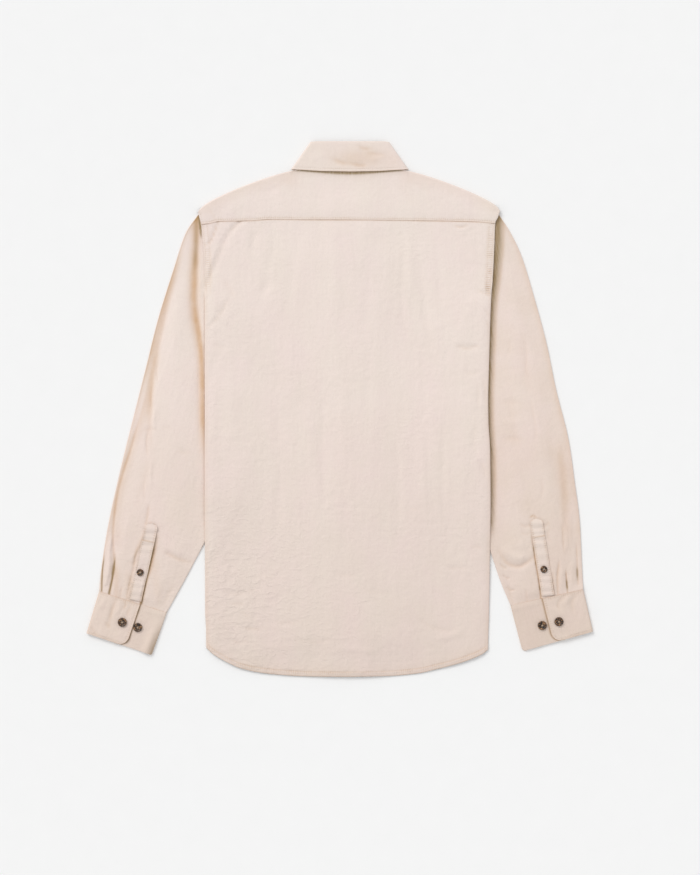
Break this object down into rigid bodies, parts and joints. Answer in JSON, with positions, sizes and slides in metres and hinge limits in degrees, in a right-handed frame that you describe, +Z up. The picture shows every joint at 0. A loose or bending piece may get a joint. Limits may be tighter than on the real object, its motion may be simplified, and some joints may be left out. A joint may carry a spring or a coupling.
{
  "type": "flannel shirt, long-sleeved, laid flat on its front",
  "caption": "Brushed-cotton flannel shirt laid flat with its back up: turned-down collar, back yoke, curved shirt-tail hem, buttoned barrel cuffs and sleeve plackets.",
  "frame": {"origin": "middle of the garment's outline, on the surface that it lies on", "axes": "+X to the right as the back is seen from above, +Y from the hem to the collar, +Z up from the surface"},
  "size_m": [0.7611, 0.804, 0.0105],
  "materials": {
    "flannel": "brushed cotton twill, matt with a soft nap",
    "horn_button": "tortoiseshell-look resin, semi-gloss, mottled dark brown"
  },
  "bodies": {
    "root": {"back": "flannel", "yoke": "flannel", "front_left": "flannel", "front_right": "flannel", "front_placket": "flannel", "collar_leaf": "flannel", "collar_stand": "flannel", "sleeve_left": "flannel", "sleeve_placket_left": "flannel", "cuff_left": "flannel", "sleeve_right": "flannel", "sleeve_placket_right": "flannel", "cuff_right": "flannel", "cuff_button_left": "horn_button", "cuff_button_left_inner": "horn_button", "placket_button_left": "horn_button", "cuff_button_right": "horn_button", "cuff_button_right_inner": "horn_button", "placket_button_right": "horn_button", "front_button_1": "horn_button", "front_button_2": "horn_button", "front_button_3": "horn_button", "front_button_4": "horn_button", "front_button_5": "horn_button", "front_button_6": "horn_button", "front_button_7": "horn_button", "collar_button": "horn_button"}
  },
  "joints": []
}
